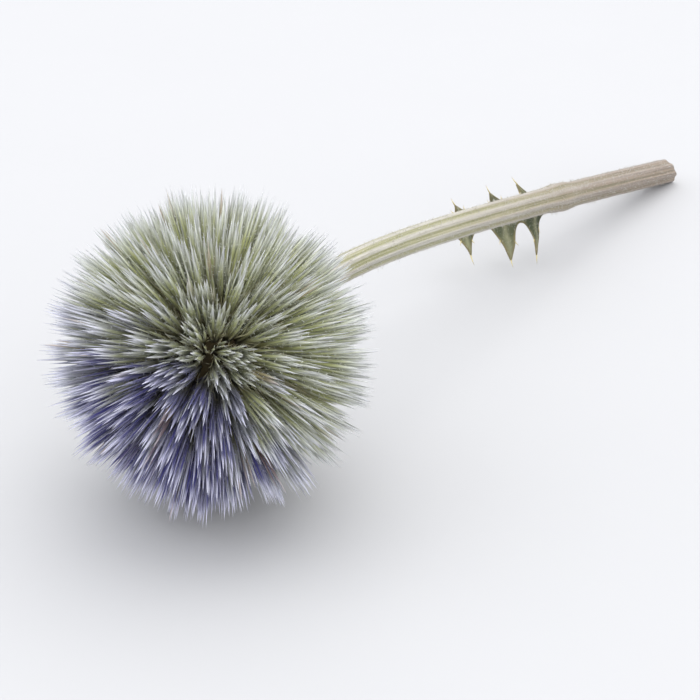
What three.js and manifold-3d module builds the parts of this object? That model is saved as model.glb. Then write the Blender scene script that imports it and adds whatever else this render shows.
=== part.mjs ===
// A globe thistle flower head on its cut stem, dried, lying on a flat surface.
// Units are millimetres and +Z is up. While it is being shaped, the origin is the centre of the head and
// the stem runs towards +X. The finished group is moved so that its origin is the middle of its own base.
import * as THREE from "three";
import { mergeVertices } from "three/addons/utils/BufferGeometryUtils.js";
import Module from "manifold-3d";

const wasm = await Module();
wasm.setup();

// The ball of florets
const HEAD_RADIUS = 23.9; // centre to the longest floret tip
const SHORTEST_SHARE = 0.925; // the shortest floret's tip radius, as a share of the longest
const REST_HEIGHT = 22.5; // centre of the head above the surface
const CORE_RADIUS = 9;
const FLORET_COUNT = 300;
const FLORET_SIDES = 4;
const ROOT_DEPTH = 1.2; // how far a floret's root is sunk into the core
const FLORET_PROFILE = [
  // [share of the floret's length, radius]
  [0, 0.45],
  [0.52, 1.4],
  [0.77, 0.95],
];
const TIP_SCATTER = 0.055; // how far a tip strays from its even place, as a share of the radius
const STEM_GAP_ANGLE = THREE.MathUtils.degToRad(12); // no floret tip is nearer to the stem than this
const ROOT_GAP_ANGLE = THREE.MathUtils.degToRad(22); // and no floret root
const CROWDED_ANGLE = 0.3; // how fast the crowding round the stem fades, in radians

// The stem
const STEM_START = 6.2; // its top, in the socket of the core, from the centre of the head
const STEM_END = 134; // its cut end
const STEM_TOP_RADIUS = 1.9;
const STEM_END_RADIUS = 2.2;
const STEM_RIBS = 8;
const RIB_HEIGHT = 0.13;
const STEM_ROWS = 26;
const START_RISE = 0.06; // rise per length where it leaves the head
const BEND_AT = 30; // where it has bent down half way
const BEND_WIDTH = 20;
const STEM_SWAY = 1.5; // sideways bow
const CUT_SLANT = 0.45; // the cut leans over, so that the underside is longer
const CLEARANCE = 0.32; // gap between touching pieces

// The stem leaf
const NODE_AT = 96; // where it grows, from the centre of the head
const NODE_SWELLING = 0.35;
const NODE_HALF_LENGTH = 3;
const LEAF_BASE_SIDE = 2.25; // its base, beside and below the middle of the stem
const LEAF_BASE_DROP = 2.45;
const LEAF_LENGTH = 24;
const LEAF_THICKNESS = 0.7;
const LEAF_ROWS = 36;
const LEAF_COLUMNS = 8;
const LEAF_LOBES = 3;
const LOWER_LOBE = 11.5; // half width at a lobe, on the hanging side
const UPPER_LOBE = 6.2; // and on the side that stands up behind the stem
const LOBE_LEAN = 0.45; // how far lobes lean towards the tip, per length
const LOBE_NOTCH = 0.16; // half width in the notches, over that at a lobe
const LOBE_SHARPNESS = 2.2;
const MIDRIB_HALF_WIDTH = 0.5; // least half width anywhere
const LOBE_FALL = 0.78; // how steeply the lower lobes hang and the upper ones stand, per length
const LOBE_RISE = 0.85;
const LOWER_TUCK = 0.4; // how far the lower lobes turn in under the stem, and the upper ones lean out
const UPPER_SPREAD = 0.45;
const LOBE_WAVE = 0.13; // the lobes wave in and out, per length, this fast along the leaf
const WAVE_RATE = 11;
const LEAF_BACK = [0.92, 0]; // the leaf's run towards the head, [straight, curved], per leaf length
const LEAF_OUT = [0.1, 0.22]; // out from the stem
const LEAF_DOWN = [0.04, 0.06]; // and down

const GOLDEN_ANGLE = Math.PI * (3 - Math.sqrt(5));

// A repeatable number from -1 to 1 for piece i and purpose k.
function scatter(i, k) {
  const x = Math.sin(i * 12.9898 + k * 78.233) * 43758.5453;
  return (x - Math.floor(x)) * 2 - 1;
}

const smooth = (low, high, x) => THREE.MathUtils.smoothstep(x, low, high);

// ---- solids --------------------------------------------------------------------------------------------

function solidOf(geometry) {
  const bare = geometry.clone();
  bare.deleteAttribute("normal");
  bare.deleteAttribute("uv");
  const merged = mergeVertices(bare, 1e-4);
  const mesh = new wasm.Mesh({
    numProp: 3,
    vertProperties: new Float32Array(merged.attributes.position.array),
    triVerts: new Uint32Array(merged.index.array),
  });
  return new wasm.Manifold(mesh);
}

function geometryOf(solid) {
  const { vertProperties, triVerts } = solid.getMesh();
  return new THREE.BufferGeometry()
    .setAttribute("position", new THREE.BufferAttribute(vertProperties, 3))
    .setIndex(new THREE.BufferAttribute(triVerts, 1));
}

// Joins neighbours two by two, which stays quick for hundreds of solids.
function joined(solids) {
  let rest = solids;
  while (rest.length > 1) {
    const pairs = [];
    for (let i = 0; i < rest.length; i += 2) {
      pairs.push(i + 1 < rest.length ? rest[i].add(rest[i + 1]) : rest[i]);
    }
    rest = pairs;
  }
  return rest[0];
}

function largestBody(solid) {
  return solid.decompose().sort((a, b) => b.volume() - a.volume())[0];
}

// ---- stem ----------------------------------------------------------------------------------------------

// The stem leaves the head nearly level, bends down behind it and runs on until its cut end touches the
// surface. The bend is 0 at the head and grows by 1 per length beyond it.
function bend(x) {
  return (x + Math.hypot(x - BEND_AT, BEND_WIDTH) - Math.hypot(BEND_AT, BEND_WIDTH)) / 2;
}

const END_HEIGHT = STEM_END_RADIUS * 0.93;
const FALL = (REST_HEIGHT - END_HEIGHT + START_RISE * STEM_END) / bend(STEM_END);

function stemCentre(x) {
  const bow = STEM_SWAY * Math.sin((Math.PI * x) / STEM_END) * smooth(0, 30, x);
  return new THREE.Vector3(x, bow, START_RISE * x - FALL * bend(x));
}

function stemFrame(x) {
  const step = 0.01;
  const along = stemCentre(x + step).sub(stemCentre(x - step)).normalize();
  const side = new THREE.Vector3(0, 1, 0).addScaledVector(along, -along.y).normalize();
  const up = new THREE.Vector3().crossVectors(along, side);
  return { along, side, up };
}

function stemRadius(x) {
  const grown = THREE.MathUtils.mapLinear(x, 0, STEM_END, STEM_TOP_RADIUS, STEM_END_RADIUS);
  const node = NODE_SWELLING * Math.exp(-(((x - NODE_AT) / NODE_HALF_LENGTH) ** 2));
  return grown + node;
}

// A ribbed rod along the centre line; extra makes it fatter and longer at the top, to cut its own socket.
function stemGeometry(extra = 0) {
  const rod = new THREE.CylinderGeometry(1, 1, 1, STEM_RIBS * 2, STEM_ROWS);
  const places = rod.attributes.position;
  for (let i = 0; i < places.count; i += 1) {
    const share = places.getY(i) + 0.5;
    const across = Math.hypot(places.getX(i), places.getZ(i));
    const angle = Math.atan2(-places.getZ(i), places.getX(i));
    const x = THREE.MathUtils.lerp(STEM_START - extra, STEM_END, share);
    const { along, side, up } = stemFrame(x);
    const radius = (stemRadius(x) + RIB_HEIGHT * Math.cos(STEM_RIBS * angle) + extra) * across;
    const rise = radius * Math.sin(angle);
    const slant = -CUT_SLANT * rise * smooth(0.9, 1, share);
    const place = stemCentre(x)
      .addScaledVector(side, radius * Math.cos(angle))
      .addScaledVector(up, rise)
      .addScaledVector(along, slant);
    place.z = Math.max(place.z, -REST_HEIGHT);
    places.setXYZ(i, place.x, place.y, place.z);
  }
  return rod;
}

// ---- flower head ---------------------------------------------------------------------------------------

const stemward = stemFrame(0).along;
const across = stemFrame(0).side;
const above = stemFrame(0).up;

// A direction at that angle from the stem, turned round it.
function direction(fromStem, turn) {
  return new THREE.Vector3()
    .addScaledVector(stemward, Math.cos(fromStem))
    .addScaledVector(across, Math.sin(fromStem) * Math.cos(turn))
    .addScaledVector(above, Math.sin(fromStem) * Math.sin(turn));
}

// Florets follow the golden spiral from the far side of the ball round to the stem. Roots crowd back a
// little from the stem. The florets under the head carry it, so each one's tip is just on the surface.
function floretPlace(i) {
  const fromApex = Math.acos(1 - (2 * (i + 0.5)) / FLORET_COUNT);
  const fromStem = Math.PI - fromApex;
  const turn = i * GOLDEN_ANGLE;
  const crowding = (ROOT_GAP_ANGLE - STEM_GAP_ANGLE) * Math.exp((STEM_GAP_ANGLE - fromStem) / CROWDED_ANGLE);
  const root = direction(fromStem + crowding, turn).multiplyScalar(CORE_RADIUS - ROOT_DEPTH);
  const stray = new THREE.Vector3(scatter(i, 2), scatter(i, 3), scatter(i, 4)).multiplyScalar(TIP_SCATTER);
  const tip = direction(fromStem, turn).add(stray).normalize();
  const grown = HEAD_RADIUS * THREE.MathUtils.mapLinear(scatter(i, 1), -1, 1, SHORTEST_SHARE, 1);
  const toSurface = REST_HEIGHT / Math.max(-tip.z, 0.01);
  tip.multiplyScalar(toSurface < HEAD_RADIUS ? toSurface : grown);
  return { root, tip, fromStem, turn };
}

function floretSolid({ root, tip, turn }) {
  const length = root.distanceTo(tip);
  const profile = [
    new THREE.Vector2(0, 0),
    ...FLORET_PROFILE.map(([share, radius]) => new THREE.Vector2(radius, share * length)),
    new THREE.Vector2(0, length),
  ];
  const floret = new THREE.LatheGeometry(profile, FLORET_SIDES);
  const upwards = new THREE.Vector3(0, 1, 0);
  const towards = tip.clone().sub(root).normalize();
  floret.rotateY(turn);
  floret.applyQuaternion(new THREE.Quaternion().setFromUnitVectors(upwards, towards));
  floret.translate(root.x, root.y, root.z);
  return solidOf(floret);
}

function headGeometry() {
  const core = solidOf(new THREE.IcosahedronGeometry(CORE_RADIUS, 1));
  const florets = Array.from({ length: FLORET_COUNT }, (_, i) => floretPlace(i))
    .filter(({ fromStem }) => fromStem > STEM_GAP_ANGLE)
    .map(floretSolid);
  const socket = solidOf(stemGeometry(CLEARANCE));
  return geometryOf(largestBody(joined([...florets, core]).subtract(socket)));
}

// ---- stem leaf -----------------------------------------------------------------------------------------

// Half width of the blade: spine-tipped lobes on both sides, smaller towards the tip.
function leafHalfWidth(v, lobeWidth) {
  const phase = v * LEAF_LOBES + 0.15;
  const ridge = 1 - Math.abs(2 * (phase - Math.floor(phase)) - 1);
  const lobes = LOBE_NOTCH + (1 - LOBE_NOTCH) * ridge ** LOBE_SHARPNESS;
  const outline = smooth(-0.12, 0.2, v) * (1 - 0.62 * v) * (1 - smooth(0.88, 1.02, v));
  return MIDRIB_HALF_WIDTH + lobeWidth * lobes * outline;
}

const leafRun = ([straight, curved], v) => LEAF_LENGTH * (straight * v + curved * v * v);

// Middle surface of the leaf. It grows behind and under the stem, points back towards the head and droops;
// u runs across it from the hanging edge (-1) to the standing edge (1), and v from base to tip.
function leafPlace(u, v) {
  const { along, side } = stemFrame(NODE_AT);
  const reach = Math.abs(u) * leafHalfWidth(v, u < 0 ? LOWER_LOBE : UPPER_LOBE);
  const wave = LOBE_WAVE * reach * Math.sin(WAVE_RATE * v + 1);
  const rise = u < 0 ? -LOBE_FALL * reach : LOBE_RISE * reach;
  const lean = u < 0 ? -LOWER_TUCK * reach * smooth(0, 6, reach) : UPPER_SPREAD * reach;
  return stemCentre(NODE_AT)
    .addScaledVector(side, LEAF_BASE_SIDE + leafRun(LEAF_OUT, v) + wave + lean)
    .addScaledVector(along, -leafRun(LEAF_BACK, v) - LOBE_LEAN * reach)
    .add(new THREE.Vector3(0, 0, rise - LEAF_BASE_DROP - leafRun(LEAF_DOWN, v)));
}

// A closed blade: the same grid of triangles above and below the middle surface, joined round the rim.
function leafGeometry() {
  const sheet = new THREE.PlaneGeometry(2, 1, LEAF_COLUMNS, LEAF_ROWS);
  const count = sheet.attributes.position.count;
  const row = LEAF_COLUMNS + 1;
  const places = new Float32Array(count * 6);
  for (let i = 0; i < count; i += 1) {
    const u = sheet.attributes.position.getX(i);
    const v = 0.5 - sheet.attributes.position.getY(i);
    const step = 0.02;
    const lengthways = leafPlace(u, v + step).sub(leafPlace(u, v - step));
    const crossways = leafPlace(u + step, v).sub(leafPlace(u - step, v));
    const normal = new THREE.Vector3().crossVectors(lengthways, crossways).normalize();
    const middle = leafPlace(u, v);
    middle.clone().addScaledVector(normal, LEAF_THICKNESS / 2).toArray(places, i * 3);
    middle.clone().addScaledVector(normal, -LEAF_THICKNESS / 2).toArray(places, (count + i) * 3);
  }
  const front = Array.from(sheet.index.array);
  const triangles = [...front];
  for (let i = 0; i < front.length; i += 3) {
    triangles.push(front[i] + count, front[i + 2] + count, front[i + 1] + count);
  }
  const rim = [];
  for (let i = 0; i < LEAF_COLUMNS; i += 1) rim.push(i);
  for (let j = 0; j < LEAF_ROWS; j += 1) rim.push(LEAF_COLUMNS + j * row);
  for (let i = LEAF_COLUMNS; i > 0; i -= 1) rim.push(LEAF_ROWS * row + i);
  for (let j = LEAF_ROWS; j > 0; j -= 1) rim.push(j * row);
  rim.forEach((a, i) => {
    const b = rim[(i + 1) % rim.length];
    triangles.push(a, b, a + count, b, b + count, a + count);
  });
  return new THREE.BufferGeometry()
    .setAttribute("position", new THREE.BufferAttribute(places, 3))
    .setIndex(triangles);
}

// ---- the part ------------------------------------------------------------------------------------------

function piece(name, geometry, color, roughness) {
  const mesh = new THREE.Mesh(geometry, new THREE.MeshStandardMaterial({ color, roughness, metalness: 0 }));
  mesh.name = name;
  return mesh;
}

const thistle = new THREE.Group();
thistle.add(piece("flower_head", headGeometry(), 0x8d8fae, 0.75));
thistle.add(piece("stem", stemGeometry(), 0xcdc6b2, 0.85));
thistle.add(piece("stem_leaf", leafGeometry(), 0x66714c, 0.8));

// Middle of the base becomes the origin.
const box = new THREE.Box3().setFromObject(thistle, true);
const middle = box.getCenter(new THREE.Vector3());
thistle.position.set(-middle.x, -middle.y, -box.min.z);

export default thistle;
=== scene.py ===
"""A dried globe thistle flower head on its cut stem, lying down: the looks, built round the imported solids."""

import math

import bpy
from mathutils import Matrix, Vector


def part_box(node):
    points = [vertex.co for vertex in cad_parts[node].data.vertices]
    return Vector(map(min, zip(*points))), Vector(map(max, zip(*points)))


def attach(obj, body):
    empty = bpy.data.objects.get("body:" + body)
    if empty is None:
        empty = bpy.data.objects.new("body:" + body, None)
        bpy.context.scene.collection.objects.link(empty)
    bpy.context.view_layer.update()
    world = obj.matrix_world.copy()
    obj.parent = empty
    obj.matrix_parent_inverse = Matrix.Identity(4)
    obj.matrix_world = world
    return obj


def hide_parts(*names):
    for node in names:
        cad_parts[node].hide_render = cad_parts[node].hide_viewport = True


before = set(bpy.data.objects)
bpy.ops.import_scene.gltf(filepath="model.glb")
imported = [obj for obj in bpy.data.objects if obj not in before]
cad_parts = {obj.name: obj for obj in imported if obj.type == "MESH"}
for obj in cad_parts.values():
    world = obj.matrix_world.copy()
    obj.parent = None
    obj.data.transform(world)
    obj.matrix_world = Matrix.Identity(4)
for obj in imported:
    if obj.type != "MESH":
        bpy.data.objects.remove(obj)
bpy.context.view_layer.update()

# ---- sizes ------------
# All lengths are in millimetres, unless a comment gives metres. Places are measured from the centre of the
# head, with the stem running towards +X, until placed() puts them in the frame.

MM = 0.001

# The ball of florets, as in the solids
HEAD_RADIUS = 23.9  # centre to the longest floret tip
SHORTEST_SHARE = 0.925  # the shortest floret's tip radius, as a share of the longest
REST_HEIGHT = 22.5  # centre of the head above the surface
CORE_RADIUS = 9.0
ROOT_DEPTH = 1.2  # how far a floret's root is sunk into the core
FLORET_COUNT = 300
TIP_SCATTER = 0.055
STEM_GAP_ANGLE = math.radians(12)  # no floret tip is nearer to the stem than this
ROOT_GAP_ANGLE = math.radians(22)  # and no floret root
CROWDED_ANGLE = 0.3
GOLDEN_ANGLE = math.pi * (3 - math.sqrt(5))

# The stem, as in the solids
STEM_START = 6.2
STEM_END = 134.0
STEM_TOP_RADIUS = 1.9
STEM_END_RADIUS = 2.2
STEM_RIBS = 8
RIB_HEIGHT = 0.13
START_RISE = 0.06
BEND_AT = 30.0
BEND_WIDTH = 20.0
STEM_SWAY = 1.5
SWAY_RUN_IN = 30.0  # the sway grows to its full width over this length
END_HEIGHT = STEM_END_RADIUS * 0.93  # centre of the cut end above the surface
CUT_SLANT = 0.45
NODE_AT = 96.0
NODE_SWELLING = 0.35
NODE_HALF_LENGTH = 3.0

# The stem leaf, as in the solids
LEAF_BASE_SIDE = 2.25
LEAF_BASE_DROP = 2.45
LEAF_LENGTH = 24.0
LEAF_LOBES = 3
LOWER_LOBE = 11.5
UPPER_LOBE = 6.2
LOBE_PHASE = 0.15
LOBE_LEAN = 0.45
LOBE_NOTCH = 0.16
LOBE_SHARPNESS = 2.2
LEAF_TAPER = 0.62
LEAF_WIDENS = (-0.12, 0.2)  # the stretch from base to tip over which the lobes grow in
LEAF_CLOSES = (0.88, 1.02)  # and the one over which they end
MIDRIB_HALF_WIDTH = 0.5
LOBE_FALL = 0.78
LOBE_RISE = 0.85
LOWER_TUCK = 0.4
TUCK_RUN_IN = 6.0
UPPER_SPREAD = 0.45
LOBE_WAVE = 0.13
WAVE_RATE = 11.0
LEAF_BACK = (0.92, 0.0)
LEAF_OUT = (0.1, 0.22)
LEAF_DOWN = (0.04, 0.06)

# Finer forms that only the looks have
RECEPTACLE_RADIUS = 8.6
STEM_STEPS = 260
RIB_STEPS = 10  # points round the stem for each rib
STEM_UNEVENNESS = 0.16
FLORET_CLEARANCE = 0.05  # how far florets are kept off the surface
STEM_CLEARANCE = 0.02  # and stem, leaf and their hairs
FLOOR_SIZE = 6000.0


# ---- rules that the solids share ------------


def scatter(i, k):
    """A repeatable number from -1 to 1 for piece i and purpose k."""
    x = math.sin(i * 12.9898 + k * 78.233) * 43758.5453
    return (x - math.floor(x)) * 2 - 1


def smooth(low, high, x):
    """0 below low, 1 above high, and an S-shaped rise between."""
    share = min(max((x - low) / (high - low), 0.0), 1.0)
    return share * share * (3 - 2 * share)


def between(a, b, share):
    return a + (b - a) * share


def bend(x):
    """Level at first, and a straight slope beyond the bend."""
    return (x + math.hypot(x - BEND_AT, BEND_WIDTH) - math.hypot(BEND_AT, BEND_WIDTH)) / 2


FALL = (REST_HEIGHT - END_HEIGHT + START_RISE * STEM_END) / bend(STEM_END)


def stem_centre(x):
    bow = STEM_SWAY * math.sin(math.pi * x / STEM_END) * smooth(0, SWAY_RUN_IN, x)
    return Vector((x, bow, START_RISE * x - FALL * bend(x)))


def stem_frame(x):
    """The stem's own directions at x: along it, to its side and up."""
    step = 0.01
    along = (stem_centre(x + step) - stem_centre(x - step)).normalized()
    side = (Vector((0, 1, 0)) - along * along.y).normalized()
    return along, side, along.cross(side)


def stem_radius(x):
    grown = between(STEM_TOP_RADIUS, STEM_END_RADIUS, x / STEM_END)
    return grown + NODE_SWELLING * math.exp(-(((x - NODE_AT) / NODE_HALF_LENGTH) ** 2))


STEMWARD, ACROSS, ABOVE = stem_frame(0)


def direction(from_stem, turn):
    """A direction at that angle from the stem, turned round it."""
    return (
        STEMWARD * math.cos(from_stem)
        + ACROSS * (math.sin(from_stem) * math.cos(turn))
        + ABOVE * (math.sin(from_stem) * math.sin(turn))
    )


def floret_place(i):
    """Root, tip and angle from the stem of floret i on the golden spiral."""
    from_stem = math.pi - math.acos(1 - 2 * (i + 0.5) / FLORET_COUNT)
    turn = i * GOLDEN_ANGLE
    crowding = (ROOT_GAP_ANGLE - STEM_GAP_ANGLE) * math.exp((STEM_GAP_ANGLE - from_stem) / CROWDED_ANGLE)
    root = direction(from_stem + crowding, turn) * (CORE_RADIUS - ROOT_DEPTH)
    stray = Vector((scatter(i, 2), scatter(i, 3), scatter(i, 4))) * TIP_SCATTER
    towards = (direction(from_stem, turn) + stray).normalized()
    grown = HEAD_RADIUS * between(SHORTEST_SHARE, 1, (scatter(i, 1) + 1) / 2)
    to_surface = REST_HEIGHT / max(-towards.z, 0.01)
    return root, towards * (to_surface if to_surface < HEAD_RADIUS else grown), from_stem


FLORETS = [floret_place(i) for i in range(FLORET_COUNT)]
FLORETS = [(root, tip) for root, tip, from_stem in FLORETS if from_stem > STEM_GAP_ANGLE]


def head_centre():
    """The centre of the head in the frame: its solid's box starts at the outermost floret tips."""
    low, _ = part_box("flower_head")
    first_x = min(tip.x for _, tip in FLORETS)
    first_y = min(tip.y for _, tip in FLORETS)
    return Vector((low.x / MM - first_x, low.y / MM - first_y, low.z / MM + REST_HEIGHT))


HEAD_CENTRE = head_centre()


def placed(point):
    """A place measured from the centre of the head, in mm, as a place in the frame, in metres."""
    return (HEAD_CENTRE + point) * MM


# ---- meshes ------------


def mesh_of(name, points, faces, values, edges=()):
    """A mesh with its named values, one number or one vector for each point."""
    mesh = bpy.data.meshes.new(name)
    mesh.from_pydata(points, edges, faces)
    for key, numbers in values.items():
        if isinstance(numbers[0], (int, float)):
            mesh.attributes.new(key, "FLOAT", "POINT").data.foreach_set("value", numbers)
        else:
            flat = [x for vector in numbers for x in vector]
            mesh.attributes.new(key, "FLOAT_VECTOR", "POINT").data.foreach_set("vector", flat)
    mesh.update()
    return mesh


def object_of(name, data):
    made = bpy.data.objects.new(name, data)
    bpy.context.scene.collection.objects.link(made)
    return made


def smooth_object(name, mesh, material):
    mesh.polygons.foreach_set("use_smooth", [True] * len(mesh.polygons))
    mesh.materials.append(material)
    return object_of(name, mesh)


def add_spike(points, faces, rings, point):
    """Adds a closed spike: a flat foot, rings that have as many corners as the foot, and a point."""
    first, sides = len(points), len(rings[0])
    for ring in rings:
        points.extend(ring)
    tip = len(points)
    points.append(point)
    faces.append(tuple(first + corner for corner in reversed(range(sides))))
    for start in range(first, tip, sides):
        for corner in range(sides):
            a = start + corner
            b = start + (corner + 1) % sides
            faces.append((a, b, tip) if start + sides == tip else (a, b, b + sides, a + sides))


def slender_mesh(name, rings, point, sides=3):
    """A bent spike. A ring is its offset, height and radius, and the point its offset and height."""
    turns = [corner * math.tau / sides for corner in range(sides)]
    corners = [
        [(offset + radius * math.cos(turn), radius * math.sin(turn), height) for turn in turns]
        for offset, height, radius in rings
    ]
    points, faces = [], []
    add_spike(points, faces, corners, (point[0], 0.0, point[1]))
    return mesh_of(name, points, faces, {"along": [height for _, _, height in points]})


# ---- node trees ------------


def fill(tree, socket, value):
    """Joins an input to another node's output, or sets it to a plain value."""
    if isinstance(value, bpy.types.NodeSocket):
        tree.links.new(value, socket)
    else:
        socket.default_value = value


def add(tree, kind, inputs=None, **settings):
    """Adds a node. Its inputs are named or numbered, and are values or sockets to join."""
    node = tree.nodes.new(kind)
    for name, value in settings.items():
        setattr(node, name, value)
    for key, value in (inputs or {}).items():
        fill(tree, node.inputs[key], value)
    return node


def output(tree, kind, inputs=None, **settings):
    """Adds a node and gives its first output."""
    return add(tree, kind, inputs, **settings).outputs[0]


def maths(tree, operation, *values):
    return output(tree, "ShaderNodeMath", dict(enumerate(values)), operation=operation)


def times(tree, first, second):
    return maths(tree, "MULTIPLY", first, second)


def vectors(tree, operation, *values):
    return output(tree, "ShaderNodeVectorMath", dict(enumerate(values)), operation=operation)


def scaled(tree, vector, scale):
    return output(tree, "ShaderNodeVectorMath", {0: vector, "Scale": scale}, operation="SCALE")


def step_between(tree, low, high, value):
    """An S-shaped rise from 0 at low to 1 at high."""
    inputs = {"Value": value, "From Min": low, "From Max": high}
    return add(tree, "ShaderNodeMapRange", inputs, interpolation_type="SMOOTHSTEP").outputs["Result"]


def named(tree, name, kind="FLOAT"):
    """A named value of the points, inside a Geometry Nodes tree."""
    node = add(tree, "GeometryNodeInputNamedAttribute", {"Name": name}, data_type=kind)
    return node.outputs["Attribute"]


def random_between(tree, low, high, seed, offset):
    """A random number for each point; offset keeps the uses in one tree apart."""
    inputs = {2: low, 3: high, "Seed": maths(tree, "ADD", seed, float(offset))}
    return add(tree, "FunctionNodeRandomValue", inputs, data_type="FLOAT").outputs[1]


def aimed(tree, towards):
    """The rotation that points a shape's z axis in a direction."""
    return output(tree, "FunctionNodeAlignRotationToVector", {"Vector": towards}, axis="Z")


def turned(tree, rotation, **angles):
    """A rotation turned on about its own axes, by an angle for X, Y or Z."""
    by = output(tree, "ShaderNodeCombineXYZ", angles)
    return output(tree, "FunctionNodeRotateRotation", {0: rotation, 1: by}, rotation_space="LOCAL")


def captured(tree, geometry, **values):
    """Keeps values as they are at this step, each given as its kind and socket."""
    node = add(tree, "GeometryNodeCaptureAttribute", {"Geometry": geometry})
    for name, (kind, value) in values.items():
        node.capture_items.new(kind, name)
        tree.links.new(value, node.inputs[name])
    return node.outputs


def copies_on(tree, points, pattern, rotation, size):
    """Copies of an object on points, as real faces."""
    shape = add(tree, "GeometryNodeObjectInfo", {"Object": pattern}, transform_space="ORIGINAL")
    inputs = {"Points": points, "Instance": shape.outputs["Geometry"], "Rotation": rotation, "Scale": size}
    copies = output(tree, "GeometryNodeInstanceOnPoints", inputs)
    return output(tree, "GeometryNodeRealizeInstances", {"Geometry": copies})


def kept_off_floor(tree, geometry, floor):
    """Lifts whatever lies lower than floor up to it."""
    place = add(tree, "ShaderNodeSeparateXYZ", {0: output(tree, "GeometryNodeInputPosition")}).outputs
    height = maths(tree, "MAXIMUM", place["Z"], floor)
    lifted = output(tree, "ShaderNodeCombineXYZ", {"X": place["X"], "Y": place["Y"], "Z": height})
    return output(tree, "GeometryNodeSetPosition", {"Geometry": geometry, "Position": lifted})


def geometry_tree(name, **sockets):
    """A new Geometry Nodes tree with Geometry in and out, and further inputs named by their kind."""
    tree = bpy.data.node_groups.new(name, "GeometryNodeTree")
    tree.interface.new_socket("Geometry", in_out="INPUT", socket_type="NodeSocketGeometry")
    for kind, keys in sockets.items():
        for key in keys:
            tree.interface.new_socket(key, in_out="INPUT", socket_type="NodeSocket" + kind)
    tree.interface.new_socket("Geometry", in_out="OUTPUT", socket_type="NodeSocketGeometry")
    return tree, tree.nodes.new("NodeGroupInput").outputs


def close_tree(tree, geometry, material):
    """Ends a tree in Realize Instances, Set Shade Smooth and Set Material."""
    real = output(tree, "GeometryNodeRealizeInstances", {"Geometry": geometry})
    shaded = output(tree, "GeometryNodeSetShadeSmooth", {"Geometry": real, "Shade Smooth": True})
    finished = output(tree, "GeometryNodeSetMaterial", {"Geometry": shaded, "Material": material})
    add(tree, "NodeGroupOutput", {"Geometry": finished})


def grow(name, base, tree, values):
    """Runs a Geometry Nodes tree on a mesh and keeps the result as a plain mesh object."""
    carrier = object_of(name + "_base", base)
    modifier = carrier.modifiers.new("grow", "NODES")
    modifier.node_group = tree
    for item in tree.interface.items_tree:
        if item.item_type == "SOCKET" and item.in_out == "INPUT" and item.name in values:
            modifier[item.identifier] = values[item.name]
    now = bpy.context.evaluated_depsgraph_get()
    mesh = bpy.data.meshes.new_from_object(
        carrier.evaluated_get(now), preserve_all_data_layers=True, depsgraph=now
    )
    carrier.modifiers.clear()
    bpy.data.objects.remove(carrier)
    mesh.name = name
    return object_of(name, mesh)


def grow_copies(name, base, tree, shape, values):
    """Grows one piece made of many copies of one small shape."""
    pattern = object_of(name + "_pattern", shape)
    piece = grow(name, base, tree, {**values, "Shape": pattern})
    bpy.data.objects.remove(pattern)
    return piece


# ---- shader groups ------------


def colour(red, green, blue):
    """A colour given as it looks on a screen, 0 to 255, as the linear values that a shader takes."""

    def linear(value):
        share = value / 255
        return share / 12.92 if share <= 0.04045 else ((share + 0.055) / 1.055) ** 2.4

    return linear(red), linear(green), linear(blue), 1.0


def shader_group(name, inputs, result):
    """A new shader node group that takes these numbers, by name, and gives one number."""
    group = bpy.data.node_groups.new(name, "ShaderNodeTree")
    for key in inputs:
        group.interface.new_socket(key, in_out="INPUT", socket_type="NodeSocketFloat")
    group.interface.new_socket(result, in_out="OUTPUT", socket_type="NodeSocketFloat")
    return group, group.nodes.new("NodeGroupInput").outputs


def make_mottle_group():
    """Soft cloudy change of tone, as dry plant skin has."""
    group, given = shader_group("Mottle", ("Scale", "Strength"), "Tone")
    place = add(group, "ShaderNodeTexCoord").outputs["Object"]
    inputs = {"Vector": place, "Scale": given["Scale"], "Detail": 4.0, "Roughness": 0.6}
    centred = maths(group, "SUBTRACT", output(group, "ShaderNodeTexNoise", inputs), 0.5)
    spread = times(group, centred, times(group, given["Strength"], 2.0))
    add(group, "NodeGroupOutput", {"Tone": maths(group, "ADD", spread, 1.0)})
    return group


def make_fibre_group():
    """Fine ridges that follow the length of a piece, from its own two values along and across."""
    group, given = shader_group("Fibres", ("Along", "Across", "Count", "Seed"), "Height")
    across = times(group, given["Across"], given["Count"])
    along = times(group, given["Along"], 3.0)
    place = output(group, "ShaderNodeCombineXYZ", {"X": across, "Y": along, "Z": given["Seed"]})
    inputs = {"Vector": place, "Scale": 1.0, "Detail": 3.0, "Roughness": 0.55}
    add(group, "NodeGroupOutput", {"Height": output(group, "ShaderNodeTexNoise", inputs)})
    return group


MOTTLE = make_mottle_group()
FIBRES = make_fibre_group()


def mottle(tree, scale, strength):
    return output(tree, "ShaderNodeGroup", {"Scale": scale, "Strength": strength}, node_tree=MOTTLE)


def fibres(tree, along, across, count, seed=0.0):
    inputs = {"Along": along, "Across": across, "Count": count, "Seed": seed}
    return output(tree, "ShaderNodeGroup", inputs, node_tree=FIBRES)


def attribute(tree, name):
    """A value that the mesh carries, inside a material."""
    return add(tree, "ShaderNodeAttribute", attribute_name=name).outputs["Fac"]


def blend(tree, share, first, second, way="MIX"):
    """The first colour where share is 0, and the second where it is 1."""
    inputs = {0: share, 6: first, 7: second}
    return add(tree, "ShaderNodeMix", inputs, data_type="RGBA", blend_type=way).outputs[2]


def toned(tree, base, tone):
    """A colour made lighter or darker by a tone near 1."""
    grey = output(tree, "ShaderNodeCombineColor", {0: tone, 1: tone, 2: tone})
    return blend(tree, 1.0, base, grey, way="MULTIPLY")


def new_material(name):
    material = bpy.data.materials.new(name)
    material.use_nodes = True
    tree = material.node_tree
    return material, tree, tree.nodes["Principled BSDF"]


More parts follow.
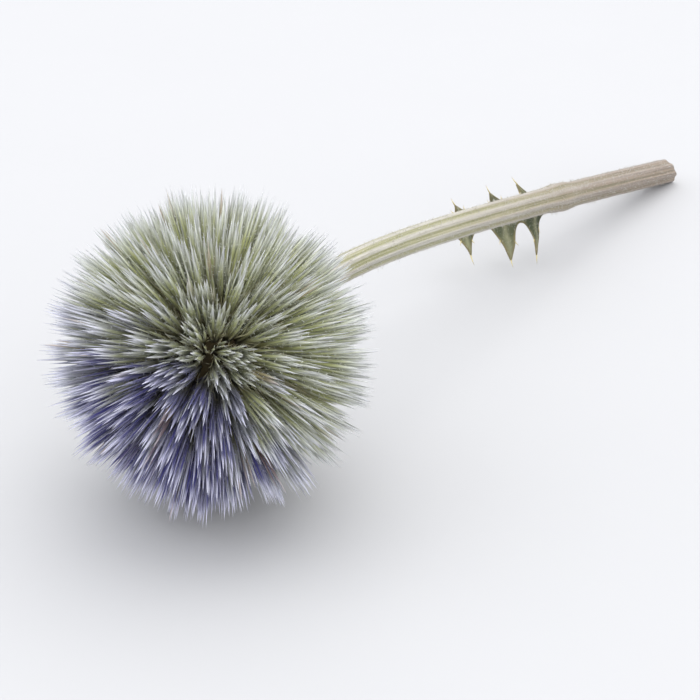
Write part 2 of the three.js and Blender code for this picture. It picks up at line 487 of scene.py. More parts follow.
def coat(tree, shader, base, roughness, sheen=0.0):
    """Gives a shader its colour, roughness and sheen."""
    tree.links.new(base, shader.inputs["Base Color"])
    shader.inputs["Roughness"].default_value = roughness
    shader.inputs["Sheen Weight"].default_value = sheen


def bump(tree, shader, height, distance):
    """Raises a pattern by up to distance, in metres."""
    node = add(tree, "ShaderNodeBump", {"Height": height, "Distance": distance})
    tree.links.new(node.outputs["Normal"], shader.inputs["Normal"])


# ---- materials ------------

# The head's colours, each pair where a floret is sage green and where it is violet
# The violet foot is near black: painted shade in the gaps between the florets.
BRACT_FOOT = colour(150, 146, 84), colour(36, 34, 30)
BRACT_BODY = colour(174, 178, 126), colour(60, 58, 124)
BRACT_TIP = colour(208, 211, 203), colour(216, 216, 240)
BRACT_POINT = colour(214, 215, 222), colour(222, 222, 240)
FRINGE = colour(220, 222, 212), colour(120, 120, 170)
# The violet bristles are dark slate: painted shade in the gaps between the florets.
BRISTLE_FOOT = colour(128, 118, 66), colour(52, 48, 36)
BRISTLE_TOP = colour(206, 202, 166), colour(84, 82, 104)
FRINGE_ROOT = colour(150, 146, 104)
WITHERED = colour(150, 122, 78)

# The other colours, each pair from one end of its change to the other
PITTED_SKIN = colour(26, 22, 12), colour(74, 62, 34)
STEM_GROOVE = colour(126, 125, 84), colour(156, 152, 122)
STEM_CREST = colour(152, 147, 132), colour(177, 173, 163)
OLD_STEM = colour(94, 78, 66), colour(134, 117, 103)
PITH_TO_WOOD = colour(196, 188, 160), colour(150, 128, 96)
BARK = colour(104, 82, 60)
WHITE_FELT = colour(200, 197, 189)
LEAF_GREEN = colour(54, 62, 40), colour(102, 105, 74)
LEAF_FELT = colour(168, 170, 150), colour(204, 204, 190)
GREEN_VEIN = colour(166, 164, 132)
FELTED_VEIN = colour(214, 206, 172)
DRY_MARGIN = colour(118, 108, 74)
SPINE = colour(206, 192, 136), colour(128, 88, 44)
PALE_FLOOR = colour(176, 176, 177)


def bract_material():
    """Dry bract: straw at the root, or near black as painted shade where the floret is violet; slate violet or
    sage above, and a pale silvery tip and margin.
    """
    material, tree, shader = new_material("dry_bract")
    along, edge, violet, tone = (attribute(tree, name) for name in ("along", "edge", "violet", "tone"))
    lilac = maths(tree, "POWER", violet, 0.5)
    tip = blend(tree, lilac, *BRACT_TIP)
    # Where the floret is violet, the painted-shade root reaches further up and the pale tip starts later.
    shade_shifted_along = maths(tree, "SUBTRACT", along, times(tree, violet, 0.13))
    low = step_between(tree, 0.25, 0.55, shade_shifted_along)
    high = step_between(tree, 0.62, 0.88, shade_shifted_along)
    lower = blend(tree, low, blend(tree, violet, *BRACT_FOOT), blend(tree, violet, *BRACT_BODY))
    whole = blend(tree, high, lower, tip)
    point = times(tree, step_between(tree, 0.78, 0.96, along), 0.8)
    whole = blend(tree, point, whole, blend(tree, lilac, *BRACT_POINT))
    margin = times(tree, step_between(tree, 0.45, 1.0, edge), 0.5)
    whole = blend(tree, times(tree, margin, low), whole, tip)
    height = fibres(tree, along, edge, 9.0, times(tree, tone, 40.0))
    streaks = step_between(tree, 0.25, 0.75, height)
    whole = toned(tree, whole, maths(tree, "MULTIPLY_ADD", streaks, 0.24, 0.86))
    whole = toned(tree, whole, maths(tree, "MULTIPLY_ADD", tone, 0.3, 0.85))
    few = times(tree, step_between(tree, 0.97, 0.99, tone), 0.6)
    coat(tree, shader, blend(tree, few, whole, WITHERED), roughness=0.55, sheen=0.15)
    bump(tree, shader, height, 0.00006)
    return material


def fringe_material():
    """The fringe of the bracts: white, or lilac grey where the floret is violet."""
    material, tree, shader = new_material("pale_fringe")
    high = step_between(tree, 0.3, 0.6, attribute(tree, "along"))
    hair = blend(tree, high, FRINGE_ROOT, blend(tree, attribute(tree, "violet"), *FRINGE))
    coat(tree, shader, toned(tree, hair, mottle(tree, 900.0, 0.12)), roughness=0.6)
    return material


def bristle_material():
    """The bristles at the foot of each floret: straw-white, or a dark slate painted as shade in the gaps where
    the floret is violet.
    """
    material, tree, shader = new_material("foot_bristle")
    high = step_between(tree, 0.1, 0.5, attribute(tree, "along"))
    violet = attribute(tree, "violet")
    straw = blend(tree, high, blend(tree, violet, *BRISTLE_FOOT), blend(tree, violet, *BRISTLE_TOP))
    coat(tree, shader, toned(tree, straw, mottle(tree, 700.0, 0.2)), roughness=0.6)
    return material


def receptacle_material():
    """The dark, pitted ball that the florets grow on."""
    material, tree, shader = new_material("receptacle")
    place = add(tree, "ShaderNodeTexCoord").outputs["Object"]
    cells = add(tree, "ShaderNodeTexVoronoi", {"Vector": place, "Scale": 520.0})
    pits = step_between(tree, 0.1, 0.6, cells.outputs["Distance"])
    skin = blend(tree, pits, *PITTED_SKIN)
    coat(tree, shader, toned(tree, skin, mottle(tree, 900.0, 0.3)), roughness=0.85)
    bump(tree, shader, pits, 0.0003)
    return material


def stem_material():
    """Dry stem: cream felt on the ribs, yellow-green in the grooves, and brown towards the cut."""
    material, tree, shader = new_material("dry_stem")
    along, rib, round_it = (attribute(tree, name) for name in ("along", "rib", "round"))
    streak = fibres(tree, along, round_it, 46.0)
    fine = fibres(tree, times(tree, along, 4.0), round_it, 150.0, 7.0)
    groove = blend(tree, step_between(tree, 0.4, 0.62, streak), *STEM_GROOVE)
    crest = blend(tree, step_between(tree, 0.35, 0.6, fine), *STEM_CREST)
    young = blend(tree, step_between(tree, -0.5, 0.7, rib), groove, crest)
    old = blend(tree, step_between(tree, 0.35, 0.6, streak), *OLD_STEM)
    uneven = times(tree, maths(tree, "SUBTRACT", streak, 0.5), 0.5)
    ageing = step_between(tree, 0.3, 0.95, maths(tree, "ADD", along, uneven))
    skin = blend(tree, times(tree, ageing, 0.85), young, old)
    coat(tree, shader, toned(tree, skin, mottle(tree, 260.0, 0.14)), roughness=0.75, sheen=0.2)
    bump(tree, shader, maths(tree, "ADD", streak, fine), 0.00012)
    return material


def felt_material():
    """The white hairs on the stem and on the leaf."""
    material, tree, shader = new_material("white_felt")
    coat(tree, shader, toned(tree, WHITE_FELT, mottle(tree, 500.0, 0.12)), roughness=0.7)
    return material


def pith_material():
    """The cut end: pale pith in a ring of brown wood."""
    material, tree, shader = new_material("cut_pith")
    outwards = attribute(tree, "outwards")
    wood = blend(tree, step_between(tree, 0.55, 0.75, outwards), *PITH_TO_WOOD)
    face = blend(tree, step_between(tree, 0.86, 1.0, outwards), wood, BARK)
    coat(tree, shader, toned(tree, face, mottle(tree, 1800.0, 0.25)), roughness=0.8)
    bump(tree, shader, mottle(tree, 2600.0, 0.5), 0.0002)
    return material


def leaf_material():
    """Withered leaf: dark green above, white felt below, straw veins and a browned margin."""
    material, tree, shader = new_material("withered_leaf")
    under, edge, vein = (attribute(tree, name) for name in ("under", "edge", "vein"))
    patches = mottle(tree, 260.0, 0.5)
    green = blend(tree, step_between(tree, 0.85, 1.2, patches), *LEAF_GREEN)
    green = blend(tree, times(tree, vein, 0.7), green, GREEN_VEIN)
    felt = blend(tree, step_between(tree, 0.8, 1.2, patches), *LEAF_FELT)
    felt = blend(tree, times(tree, vein, 0.6), felt, FELTED_VEIN)
    dry = times(tree, step_between(tree, 0.72, 1.0, edge), step_between(tree, 0.7, 1.15, patches))
    blade = blend(tree, dry, blend(tree, under, green, felt), DRY_MARGIN)
    coat(tree, shader, toned(tree, blade, mottle(tree, 1400.0, 0.15)), roughness=0.7)
    raised = times(tree, vein, 0.5)
    bump(tree, shader, maths(tree, "ADD", mottle(tree, 900.0, 0.5), raised), 0.0003)
    return material


def spine_material():
    """The straw-coloured spines of the leaf, brown at the point."""
    material, tree, shader = new_material("leaf_spine")
    point = step_between(tree, 0.6, 1.0, attribute(tree, "along"))
    coat(tree, shader, blend(tree, point, *SPINE), roughness=0.45)
    return material


# ---- florets ------------

# The three rows of bracts round a floret: how many, their reach as a share of the floret's length, how far
# they stand off its axis at the root, at the belly and by the flare of the tip, in mm, where the first one
# stands, as a share of the gap to the next, and how violet they can be.
BRACT_ROWS = {
    "outer": dict(count=6, reach=0.76, root=0.45, belly=0.66, flare=1.5, first_spin=0.0, violet=1.0),
    "middle": dict(count=7, reach=0.93, root=0.35, belly=0.6, flare=1.3, first_spin=0.5, violet=1.0),
    "inner": dict(count=6, reach=1.0, root=0.2, belly=0.42, flare=0.8, first_spin=0.2, violet=0.95),
}
BRACT_STATIONS = (0.0, 0.26, 0.48, 0.66, 0.81, 0.93)  # rings along a bract, before its point
BRACT_HALF_WIDTH = 0.34
CLAW_HALF_WIDTH = 0.2  # the narrow foot of a bract
CLAW_WIDENS = (0.1, 0.5)  # the stretch from root to tip over which it widens
POINT_CLOSES = (0.62, 1.06)  # and the one over which the bract narrows to its point
KEEL_SHARE = 0.5  # keel height over the bract's half width
TIP_EDGE = 0.6  # how far a bract's point counts as margin
BRACT_LEAN = 3.6  # degrees at most that a bract strays from its place
BRACT_SHORTENING = 0.07  # share of its length that it can lack
GROWTH_WIDTHS = (0.88, 1.08)  # the narrowest and the widest copy, as a share
FRINGE_STATIONS = (0.48, 0.6, 0.72)
FRINGE_LENGTH = 0.32
FRINGE_FOOT = 0.04
FRINGE_FLARE = 0.12  # how far a hair's point stands further out than its foot
FRINGE_RISE = 0.022  # and further up, as a share of the floret's length
FRINGE_CORNERS = ((-FRINGE_FOOT, 0.0), (FRINGE_FOOT, -0.004), (0.0, 0.008))  # a hair's foot: out and up
BRISTLES = 14
BRISTLE_SPIN = 0.3
BRISTLE_REACH = 0.58  # as a share of the floret's length
BRISTLE_RINGS = ((0.35, 0.0, 0.07), (1.0, 0.5, 0.07))  # offset, height and radius
BRISTLE_POINT = (2.0, 1.0)
BRISTLE_LEAN = 6
BRISTLE_SHORTENING = 0.35

# The florets round this direction have kept their violet; the rest have turned sage green
VIOLET_SIDE = Vector((-0.83, 0.03, -0.55))
VIOLET_WITHIN = math.radians(38)
VIOLET_UP_TO = math.radians(84)
VIOLET_SCATTER = 0.24
PALEST_SHARE = 0.6  # of its violet that a bract keeps at least


def bract_offset(row, share):
    """How far the bract's middle stands off the floret's axis."""
    belly = row["belly"] * math.sin(math.pi * share**1.3)
    return row["root"] * (1 - share) + belly + row["flare"] * share**3


def bract_half_width(share):
    widened = between(CLAW_HALF_WIDTH, BRACT_HALF_WIDTH, smooth(*CLAW_WIDENS, share))
    return widened * (1 - smooth(*POINT_CLOSES, share))


def bract_mesh(name, row):
    """A keeled, pointed bract: a closed tube of three sides. The floret's length is 1, the rest is in mm."""
    rings = []
    for share in BRACT_STATIONS:
        offset = bract_offset(row, share)
        half = bract_half_width(share)
        height = share * row["reach"]
        keel = (offset + KEEL_SHARE * half, 0.0, height)
        rings.append([(offset, -half, height), keel, (offset, half, height)])
    points, faces = [], []
    add_spike(points, faces, rings, (bract_offset(row, 1.0), 0.0, row["reach"]))
    edge = [1.0, 0.0, 1.0] * len(rings) + [TIP_EDGE]
    return mesh_of(name, points, faces, {"along": [height for _, _, height in points], "edge": edge})


def fringe_mesh(name, row):
    """The hairs on both margins of a bract, each a thin closed spike of three sides."""
    points, faces, along = [], [], []
    for share in FRINGE_STATIONS:
        offset = bract_offset(row, share)
        height = share * row["reach"]
        for side in (-1, 1):
            margin = bract_half_width(share) * side
            foot = margin - FRINGE_FOOT * side
            ring = [(offset + out, foot, height + up) for out, up in FRINGE_CORNERS[::-side]]
            point = (offset + FRINGE_FLARE, margin + FRINGE_LENGTH * side, height + FRINGE_RISE)
            add_spike(points, faces, [ring], point)
            along += [height] * (len(ring) + 1)
    return mesh_of(name, points, faces, {"along": along})


def floret_points(name, count, first_spin, shortening=1.0, most_violet=1.0):
    """Points at the roots of the florets, count for each, with values that turn and size what grows there."""
    points = []
    values = {"points_to": [], "spin": [], "length": [], "violet": [], "tone": []}
    for i, (root, tip) in enumerate(FLORETS):
        towards = tip - root
        length = towards.length
        own_turn = scatter(i, 11) * math.pi
        from_violet_side = tip.angle(VIOLET_SIDE) + VIOLET_SCATTER * scatter(i, 12)
        violet = most_violet * (1 - smooth(VIOLET_WITHIN, VIOLET_UP_TO, from_violet_side))
        for k in range(count):
            kept = between(PALEST_SHARE, 1, smooth(-0.9, -0.4, scatter(i * 31 + k, 14)))
            points.append(placed(root))
            values["points_to"].append(towards / length)
            values["spin"].append(own_turn + (k + first_spin) * math.tau / count)
            values["length"].append(length * MM * shortening)
            values["violet"].append(violet * kept)
            values["tone"].append((scatter(i * 31 + k, 13) + 1) / 2)
    return mesh_of(name, points, (), values)


def growth_tree():
    """Sets one shape on every point, turned and sized by the point's own values, and clear of the floor."""
    tree, given = geometry_tree(
        "Grow from roots",
        Object=["Shape"],
        Float=["Lean scatter", "Length scatter", "Width", "Floor"],
        Int=["Seed"],
        Material=["Material"],
    )
    seed = given["Seed"]
    most = given["Lean scatter"]
    least = times(tree, most, -1.0)
    sideways = random_between(tree, least, most, seed, 2)
    leaning = random_between(tree, least, most, seed, 1)
    rotation = turned(tree, aimed(tree, named(tree, "points_to", "FLOAT_VECTOR")), Z=named(tree, "spin"))
    rotation = turned(tree, rotation, X=sideways, Y=leaning)
    shortest = maths(tree, "SUBTRACT", 1.0, given["Length scatter"])
    length = times(tree, named(tree, "length"), random_between(tree, shortest, 1.0, seed, 3))
    width = times(tree, given["Width"], random_between(tree, *GROWTH_WIDTHS, seed, 4))
    size = output(tree, "ShaderNodeCombineXYZ", {"X": width, "Y": width, "Z": length})
    grown = copies_on(tree, given["Geometry"], given["Shape"], rotation, size)
    close_tree(tree, kept_off_floor(tree, grown, given["Floor"]), given["Material"])
    return tree


def growth_values(lean, shortening, clearance, seed, material):
    """Values for the growth tree: lean in degrees and shortening at most, and clearance in mm."""
    return {
        "Lean scatter": math.radians(lean),
        "Length scatter": shortening,
        "Width": MM,
        "Floor": clearance * MM,
        "Seed": seed,
        "Material": material,
    }


def make_bracts(tree):
    """The three rows of bracts, each as one piece, and their fringes as another."""
    bracts = bract_material()
    fringe = fringe_material()
    made = []
    for seed, (key, row) in enumerate(BRACT_ROWS.items(), 10):
        for part, shape, material in (("bracts", bract_mesh, bracts), ("fringe", fringe_mesh, fringe)):
            roots = floret_points("roots", row["count"], row["first_spin"], most_violet=row["violet"])
            values = growth_values(BRACT_LEAN, BRACT_SHORTENING, FLORET_CLEARANCE, seed, material)
            made.append(grow_copies(f"{key}_{part}", roots, tree, shape(part, row), values))
    return made


def make_bristles(tree):
    roots = floret_points("roots", BRISTLES, BRISTLE_SPIN, shortening=BRISTLE_REACH)
    bristle = slender_mesh("bristle", BRISTLE_RINGS, BRISTLE_POINT)
    values = growth_values(BRISTLE_LEAN, BRISTLE_SHORTENING, FLORET_CLEARANCE, 20, bristle_material())
    return grow_copies("foot_bristles", roots, tree, bristle, values)


def make_receptacle():
    """The small ball that the florets grow on."""
    bpy.ops.mesh.primitive_ico_sphere_add(subdivisions=4, radius=RECEPTACLE_RADIUS * MM)
    ball = bpy.context.object
    mesh = ball.data.copy()
    bpy.data.objects.remove(ball)
    for vertex in mesh.vertices:
        vertex.co += placed(Vector((0, 0, 0)))
    return smooth_object("receptacle", mesh, receptacle_material())


# ---- stem ------------

CUT_GROWS_IN = (0.9, 1.0)  # the stretch of the stem over which its cut slants, as shares of its length
STEM_GRAIN = 900.0  # how fine its unevenness is, and how far that is drawn out along it
GRAIN_STRETCH = (0.25, 1.0, 1.0)
CUT_RINGS = 7
CUT_SHARE = 0.985  # radius of the cut face over the rod's
CUT_PROUD = 0.14  # the cut face stands this far before the rod's own end, which is uneven
CUT_BACK = -0.05  # and its back lies this far within the rod
CUT_ROUGHNESS = 0.05
CUT_CLEARANCE = 0.03
HAIR_RINGS = ((0.0, 0.0, 0.045), (0.14, 0.55, 0.03))  # offset, height and radius
HAIR_POINT = (0.42, 0.95)
HAIR_LEAN = 1.1  # radians at most to each side
HAIR_TURN = 3.0
SHORTEST_HAIR = 0.5
STEM_HAIRS = dict(count=2.2e6, length=0.7, seed=31)  # hairs for each square metre, and the longest in mm
LEAF_HAIRS = dict(count=2.5e6, length=0.6, seed=32)


def stem_path():
    """The stem's centre line: points that carry its radius, its direction and their share of the length."""
    points = []
    values = {"radius_mm": [], "direction": [], "along": []}
    for i in range(STEM_STEPS + 1):
        share = i / STEM_STEPS
        x = between(STEM_START, STEM_END, share)
        points.append(placed(stem_centre(x)))
        values["radius_mm"].append(stem_radius(x))
        values["direction"].append(stem_frame(x)[0])
        values["along"].append(share)
    return mesh_of("stem_path", points, (), values, edges=[(i, i + 1) for i in range(STEM_STEPS)])


def stem_tree():
    """A ribbed rod along the path, with a slanted cut and small unevenness, and clear of the floor."""
    tree, given = geometry_tree(
        "Ribbed stem",
        Int=["Ribs", "Points round"],
        Float=["Rib height", "Cut slant", "Unevenness", "Floor"],
        Material=["Material"],
    )
    path = output(tree, "GeometryNodeMeshToCurve", {"Mesh": given["Geometry"]})
    upright = output(tree, "GeometryNodeSetCurveNormal", {"Curve": path}, mode="Z_UP")
    line = captured(tree, upright, centre=("VECTOR", output(tree, "GeometryNodeInputPosition")))
    inputs = {"Resolution": given["Points round"], "Radius": 1.0}
    circle = output(tree, "GeometryNodeCurvePrimitiveCircle", inputs)
    turn = maths(tree, "DIVIDE", output(tree, "GeometryNodeInputIndex"), given["Points round"])
    phase = times(tree, times(tree, turn, given["Ribs"]), math.tau)
    wave = maths(tree, "COSINE", phase)
    ring = captured(tree, circle, rib=("FLOAT", wave), turn=("FLOAT", turn))
    share = maths(tree, "DIVIDE", times(tree, wave, given["Rib height"]), STEM_END_RADIUS)
    ribbed = scaled(tree, output(tree, "GeometryNodeInputPosition"), maths(tree, "ADD", share, 1.0))
    profile = output(tree, "GeometryNodeSetPosition", {"Geometry": ring["Geometry"], "Position": ribbed})
    inputs = {
        "Curve": line["Geometry"],
        "Profile Curve": profile,
        "Scale": times(tree, named(tree, "radius_mm"), MM),
        "Fill Caps": True,
    }
    rod = output(tree, "GeometryNodeCurveToMesh", inputs)
    position = output(tree, "GeometryNodeInputPosition")
    off_centre = vectors(tree, "SUBTRACT", position, line["centre"])
    rise = add(tree, "ShaderNodeSeparateXYZ", {0: off_centre}).outputs["Z"]
    near_end = step_between(tree, *CUT_GROWS_IN, named(tree, "along"))
    slant = times(tree, rise, times(tree, given["Cut slant"], near_end))
    lean = scaled(tree, named(tree, "direction", "FLOAT_VECTOR"), times(tree, slant, -1.0))
    drawn_out = vectors(tree, "MULTIPLY", position, GRAIN_STRETCH)
    noise = output(tree, "ShaderNodeTexNoise", {"Vector": drawn_out, "Scale": STEM_GRAIN, "Detail": 3.0})
    push = times(tree, maths(tree, "SUBTRACT", noise, 0.5), given["Unevenness"])
    offset = vectors(tree, "ADD", lean, scaled(tree, output(tree, "GeometryNodeInputNormal"), push))
    moved = output(tree, "GeometryNodeSetPosition", {"Geometry": rod, "Offset": offset})
    marked = kept_off_floor(tree, moved, given["Floor"])
    for name, value in (("rib", ring["rib"]), ("round", ring["turn"])):
        inputs = {"Geometry": marked, "Name": name, "Value": value}
        marked = output(tree, "GeometryNodeStoreNamedAttribute", inputs, data_type="FLOAT", domain="POINT")
    close_tree(tree, marked, given["Material"])
    return tree


def make_stem():
    values = {
        "Ribs": STEM_RIBS,
        "Rib height": RIB_HEIGHT,
        "Points round": STEM_RIBS * RIB_STEPS,
        "Cut slant": CUT_SLANT,
        "Unevenness": STEM_UNEVENNESS * MM,
        "Floor": STEM_CLEARANCE * MM,
        "Material": stem_material(),
    }
    return grow("stem_rod", stem_path(), stem_tree(), values)


def make_cut_end():
    """The cut face of the stem, a thin closed disc: rings of pith and wood, a little uneven."""
    steps = STEM_RIBS * RIB_STEPS
    along, side, up = stem_frame(STEM_END)
    points, values, faces = [], {"outwards": []}, []

    def add_ring(share, depths):
        for step, depth in enumerate(depths):
            turn = step * math.tau / steps
            radius = share * (stem_radius(STEM_END) + RIB_HEIGHT * math.cos(STEM_RIBS * turn)) * CUT_SHARE
            rise = radius * math.sin(turn)
            place = stem_centre(STEM_END) + side * radius * math.cos(turn) + up * rise
            place += along * (depth - CUT_SLANT * rise)
            place.z = max(place.z, CUT_CLEARANCE - REST_HEIGHT)
            points.append(placed(place))
            values["outwards"].append(share)

    add_ring(0, [CUT_PROUD])
    for ring in range(1, CUT_RINGS + 1):
        share = ring / CUT_RINGS
        roughness = CUT_ROUGHNESS * (1 - share**4)
        add_ring(share, [CUT_PROUD + roughness * scatter(ring * steps + step, 21) for step in range(steps)])
    add_ring(1, [CUT_BACK] * steps)
    back = len(points)
    add_ring(0, [CUT_BACK])
    for step in range(steps):
        following = (step + 1) % steps
        faces.append((0, 1 + step, 1 + following))
        for first in range(1, back - steps, steps):
            a = first + step
            b = first + following
            faces.append((a, a + steps, b + steps, b))
        faces.append((back - steps + step, back, back - steps + following))
    cut_end = smooth_object("cut_end", mesh_of("cut_end", points, faces, values), pith_material())
    for face in cut_end.data.polygons:
        face.use_smooth = max(face.vertices) < back - steps
    return cut_end


def felt_tree():
    """Short hairs scattered over a surface, each standing off it and leaning its own way."""
    tree, given = geometry_tree(
        "Felt on a surface",
        Object=["Shape"],
        Float=["Count per square metre", "Length", "Floor"],
        Int=["Seed"],
        Material=["Material"],
    )
    seed = given["Seed"]
    inputs = {"Mesh": given["Geometry"], "Density": given["Count per square metre"], "Seed": seed}
    spread = add(tree, "GeometryNodeDistributePointsOnFaces", inputs).outputs
    sideways = random_between(tree, -HAIR_LEAN, HAIR_LEAN, seed, 1)
    leaning = random_between(tree, -HAIR_LEAN, HAIR_LEAN, seed, 2)
    round_it = random_between(tree, -HAIR_TURN, HAIR_TURN, seed, 3)
    rotation = turned(tree, aimed(tree, spread["Normal"]), X=sideways, Y=leaning, Z=round_it)
    size = times(tree, given["Length"], random_between(tree, SHORTEST_HAIR, 1.0, seed, 4))
    hairs = copies_on(tree, spread["Points"], given["Shape"], rotation, size)
    close_tree(tree, kept_off_floor(tree, hairs, given["Floor"]), given["Material"])
    return tree


def make_felt(name, surface, tree, material, count, length, seed):
    """Hairs on a finished piece, as a piece of their own."""
    values = {
        "Count per square metre": count,
        "Length": length * MM,
        "Seed": seed,
        "Floor": STEM_CLEARANCE * MM,
        "Material": material,
    }
    return grow_copies(name, surface.data.copy(), tree, slender_mesh("hair", HAIR_RINGS, HAIR_POINT), values)


# ---- leaf ------------

LEAF_ROWS = 132
LEAF_COLUMNS = 28
LEAF_MIDDLE_THICKNESS = 0.42
LEAF_EDGE_THICKNESS = 0.16
VEIN_HEIGHT = 0.1
MIDRIB_REACH = 0.07  # how far a vein's ridge runs out, as a share of the blade's half width
SIDE_VEIN_REACH = 0.14  # and as a share of a lobe's
CRINKLE_HEIGHT = 0.12
CRINKLE_WAVES = ((37, 9), (5, 13))  # two waves that cross: how fast each runs along the leaf and across it
SPINE_SPOTS = ((0.0, 2.0), (-0.05, 1.2), (0.05, 1.2))  # distance from a lobe's crest as a share, and length
SPINE_SIDES = 5
SPINE_RINGS = ((0.0, 0.0, 0.13), (0.0, 0.5, 0.0715))  # offset, height and radius
SPINE_POINT = (0.12, 1.0)
SPINE_LEAN = 8
SPINE_SHORTENING = 0.3


def lobe_ridge(v):
    """1 at the middle of a lobe and 0 in the notch between two."""
    phase = v * LEAF_LOBES + LOBE_PHASE
    return 1 - abs(2 * (phase - math.floor(phase)) - 1)


def leaf_half_width(v, lobe_width):
    lobes = LOBE_NOTCH + (1 - LOBE_NOTCH) * lobe_ridge(v) ** LOBE_SHARPNESS
    outline = smooth(*LEAF_WIDENS, v) * (1 - LEAF_TAPER * v) * (1 - smooth(*LEAF_CLOSES, v))
    return MIDRIB_HALF_WIDTH + lobe_width * lobes * outline


def leaf_run(way, v):
    straight, curved = way
    return LEAF_LENGTH * (straight * v + curved * v * v)


def leaf_place(u, v):
    """Middle surface of the leaf: u runs from the hanging edge to the standing one, v from base to tip."""
    along, side, _ = stem_frame(NODE_AT)
    reach = abs(u) * leaf_half_width(v, LOWER_LOBE if u < 0 else UPPER_LOBE)
    wave = LOBE_WAVE * reach * math.sin(WAVE_RATE * v + 1)
    rise = -LOBE_FALL * reach if u < 0 else LOBE_RISE * reach
    lean = -LOWER_TUCK * reach * smooth(0, TUCK_RUN_IN, reach) if u < 0 else UPPER_SPREAD * reach
    place = stem_centre(NODE_AT) + side * (LEAF_BASE_SIDE + leaf_run(LEAF_OUT, v) + wave + lean)
    place -= along * (leaf_run(LEAF_BACK, v) + LOBE_LEAN * reach)
    return place + Vector((0, 0, rise - LEAF_BASE_DROP - leaf_run(LEAF_DOWN, v)))


def leaf_normal(u, v):
    step = 0.01
    lengthways = leaf_place(u, v + step) - leaf_place(u, v - step)
    crossways = leaf_place(u + step, v) - leaf_place(u - step, v)
    return lengthways.cross(crossways).normalized()


def leaf_vein(u, v):
    """1 on the midrib and on the vein of each lobe, 0 away from them."""
    midrib = math.exp(-((u / MIDRIB_REACH) ** 2)) * (1 - 0.6 * v)
    side_vein = math.exp(-(((1 - lobe_ridge(v)) / SIDE_VEIN_REACH) ** 2)) * smooth(0.0, 0.1, abs(u))
    return min(midrib + 0.8 * side_vein * (1 - 0.5 * abs(u)), 1.0)


def leaf_crinkle(u, v):
    first, second = (math.sin(along * v + across * u) for along, across in CRINKLE_WAVES)
    return CRINKLE_HEIGHT * first * second * abs(u)


def make_leaf_blade():
    """The leaf as a thin closed blade with raised veins and a crinkled surface."""
    points, faces = [], []
    values = {"under": [], "edge": [], "vein": []}
    row = LEAF_COLUMNS + 1
    count = row * (LEAF_ROWS + 1)
    for sign in (1, -1):
        for j in range(LEAF_ROWS + 1):
            v = j / LEAF_ROWS
            for i in range(row):
                u = 2 * i / LEAF_COLUMNS - 1
                edge = max(abs(u), smooth(0.94, 1.0, v), 1 - smooth(0.0, 0.03, v))
                vein = leaf_vein(u, v)
                thickness = between(LEAF_MIDDLE_THICKNESS, LEAF_EDGE_THICKNESS, smooth(0.3, 1.0, edge))
                lift = sign * (thickness / 2 + VEIN_HEIGHT * vein) + leaf_crinkle(u, v)
                points.append(placed(leaf_place(u, v) + leaf_normal(u, v) * lift))
                values["under"].append(1.0 if sign > 0 else 0.0)
                values["edge"].append(edge)
                values["vein"].append(vein)
    for j in range(LEAF_ROWS):
        for i in range(LEAF_COLUMNS):
            a = j * row + i
            b = a + row
            faces.append((a, b, b + 1, a + 1))
            faces.append((count + a, count + a + 1, count + b + 1, count + b))
    rim = list(range(LEAF_COLUMNS))
    rim += [j * row + LEAF_COLUMNS for j in range(LEAF_ROWS)]
    rim += [LEAF_ROWS * row + i for i in range(LEAF_COLUMNS, 0, -1)]
    rim += [j * row for j in range(LEAF_ROWS, 0, -1)]
    for k, a in enumerate(rim):
        b = rim[(k + 1) % len(rim)]
        faces.append((a, b, count + b, count + a))
    return smooth_object("leaf_blade", mesh_of("leaf_blade", points, faces, values), leaf_material())


def spine_roots():
    """Where spines grow: on the crest and the shoulders of each lobe, and on the tip of the leaf."""
    roots = [(leaf_place(0, 0.99), leaf_place(0, 1) - leaf_place(0, 0.95), SPINE_SPOTS[0][1])]
    for side in (-1, 1):
        for lobe in range(LEAF_LOBES):
            for shift, length in SPINE_SPOTS:
                v = (lobe + 0.5 - LOBE_PHASE) / LEAF_LOBES + shift
                outwards = (leaf_place(side, v) - leaf_place(0.6 * side, v)).normalized()
                lengthways = (leaf_place(0, v + 0.01) - leaf_place(0, v)).normalized()
                roots.append((leaf_place(0.95 * side, v), outwards + lengthways * shift * 8, length))
    values = {
        "points_to": [towards.normalized() for _, towards, _ in roots],
        "spin": [0.0] * len(roots),
        "length": [length * MM for _, _, length in roots],
    }
    return mesh_of("roots", [placed(place) for place, _, _ in roots], (), values)


def make_leaf_spines(tree):
    spine = slender_mesh("spine", SPINE_RINGS, SPINE_POINT, SPINE_SIDES)
    values = growth_values(SPINE_LEAN, SPINE_SHORTENING, STEM_CLEARANCE, 33, spine_material())
    return grow_copies("leaf_spines", spine_roots(), tree, spine, values)


# ---- room, light and camera ------------

VIEW_AZIMUTH = -55  # degrees round from the front; the cut end is at 90
VIEW_ELEVATION = 28
LENS = 110.0
SENSOR = 36.0
MARGIN = 1.11  # room round the flower in the view
FIRST_DISTANCE = 500.0
FIT_ROUNDS = 6


def outwards_to(azimuth, elevation):
    """The direction from the flower to an azimuth and an elevation in degrees."""
    a, e = math.radians(azimuth), math.radians(elevation)
    return Vector((math.sin(a) * math.cos(e), -math.cos(a) * math.cos(e), math.sin(e)))


def facing_object(name, data, target, away, distance):
    """A camera or a lamp that looks at target from a distance in metres."""
    made = object_of(name, data)
    made.location = target + away * distance
    made.rotation_mode = "QUATERNION"
    made.rotation_quaternion = away.to_track_quat("Z", "Y")
    return made


def make_floor():
    bpy.ops.mesh.primitive_plane_add(size=FLOOR_SIZE * MM)
    floor = bpy.context.object
    floor.name = "floor"
    material, tree, shader = new_material("pale_floor")
    coat(tree, shader, toned(tree, PALE_FLOOR, mottle(tree, 30.0, 0.01)), roughness=0.75)
    floor.data.materials.append(material)


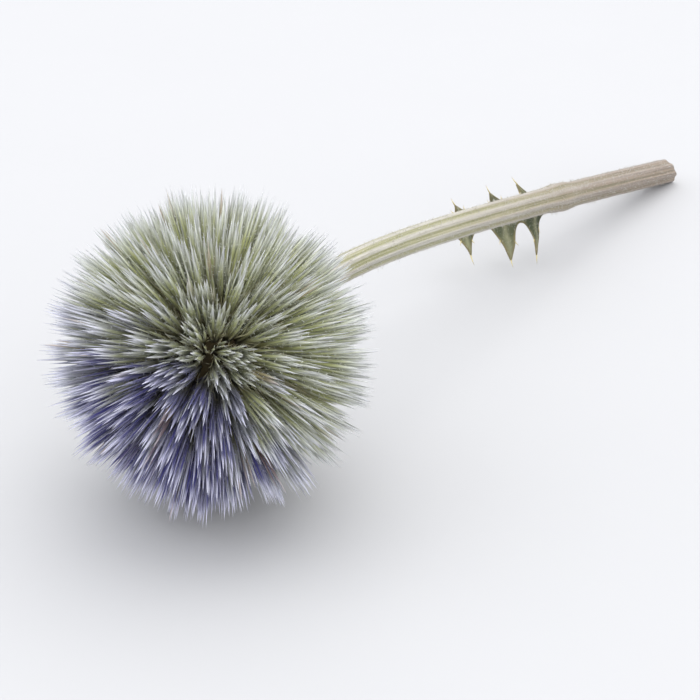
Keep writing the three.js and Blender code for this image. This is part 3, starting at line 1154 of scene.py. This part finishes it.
def outline_points():
    """Points that the view has to hold: the floret tips and the stem's line."""
    steps = [between(STEM_START, STEM_END, i / 20) for i in range(21)]
    return [placed(tip) for _, tip in FLORETS] + [placed(stem_centre(x)) for x in steps]


def middle_and_span(shares):
    return (min(shares) + max(shares)) / 2, max(shares) - min(shares)


def make_camera():
    """A camera at the chosen angle, moved until the whole flower sits in the middle of the view."""
    back = outwards_to(VIEW_AZIMUTH, VIEW_ELEVATION)
    right = outwards_to(VIEW_AZIMUTH + 90, 0)
    up = back.cross(right)
    points = outline_points()
    target = placed(Vector((0, 0, 0)))
    distance = FIRST_DISTANCE * MM
    for _ in range(FIT_ROUNDS):
        depths = [distance - (p - target).dot(back) for p in points]
        across, width = middle_and_span([(p - target).dot(right) / depth for p, depth in zip(points, depths)])
        upwards, height = middle_and_span([(p - target).dot(up) / depth for p, depth in zip(points, depths)])
        target += (right * across + up * upwards) * distance
        distance *= max(width, height) * MARGIN * LENS / SENSOR
    camera = facing_object("camera", bpy.data.cameras.new("camera"), target, back, distance)
    camera.data.lens = LENS
    camera.data.sensor_width = SENSOR
    camera.data.clip_start = 0.01
    camera.data.clip_end = 20.0
    bpy.context.scene.camera = camera


def add_area_light(name, azimuth, elevation, distance, size, energy, tint):
    """A square soft light that faces the middle of the frame; distance and size are in metres."""
    light = bpy.data.lights.new(name, "AREA")
    light.size = size
    light.energy = energy
    light.color = tint
    facing_object(name, light, Vector((0, 0, 0)), outwards_to(azimuth, elevation), distance)


def make_light():
    world = bpy.data.worlds.new("studio")
    bpy.context.scene.world = world
    world.use_nodes = True
    sky = world.node_tree.nodes["Background"]
    sky.inputs["Color"].default_value = (0.945, 0.96, 1.0, 1.0)
    sky.inputs["Strength"].default_value = 1.55
    add_area_light("back_light", 97, 75, distance=0.9, size=1.0, energy=4.3, tint=(1.0, 0.985, 0.96))
    add_area_light("side_light", 220, 40, distance=1.0, size=0.7, energy=1.6, tint=(0.96, 0.98, 1.0))
    add_area_light("front_light", -35, 32, distance=1.1, size=0.8, energy=3.8, tint=(1.0, 0.99, 0.97))
    bpy.context.scene.view_settings.view_transform = "Standard"


# ---- the flower ------------


def dress(pieces, node):
    """Rides each piece on the body and hides the solid that the pieces stand for."""
    for piece in pieces:
        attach(piece, "root")
        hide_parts(node)


make_camera()
make_light()
make_floor()

growth_rule = growth_tree()
head_pieces = make_bracts(growth_rule) + [make_bristles(growth_rule), make_receptacle()]
dress(head_pieces, "flower_head")

stem_rod = make_stem()
felt_rule = felt_tree()
felt_look = felt_material()
stem_felt = make_felt("stem_felt", stem_rod, felt_rule, felt_look, **STEM_HAIRS)
dress([stem_rod, make_cut_end(), stem_felt], "stem")

leaf_blade = make_leaf_blade()
leaf_felt = make_felt("leaf_felt", leaf_blade, felt_rule, felt_look, **LEAF_HAIRS)
dress([leaf_blade, leaf_felt, make_leaf_spines(growth_rule)], "stem_leaf")
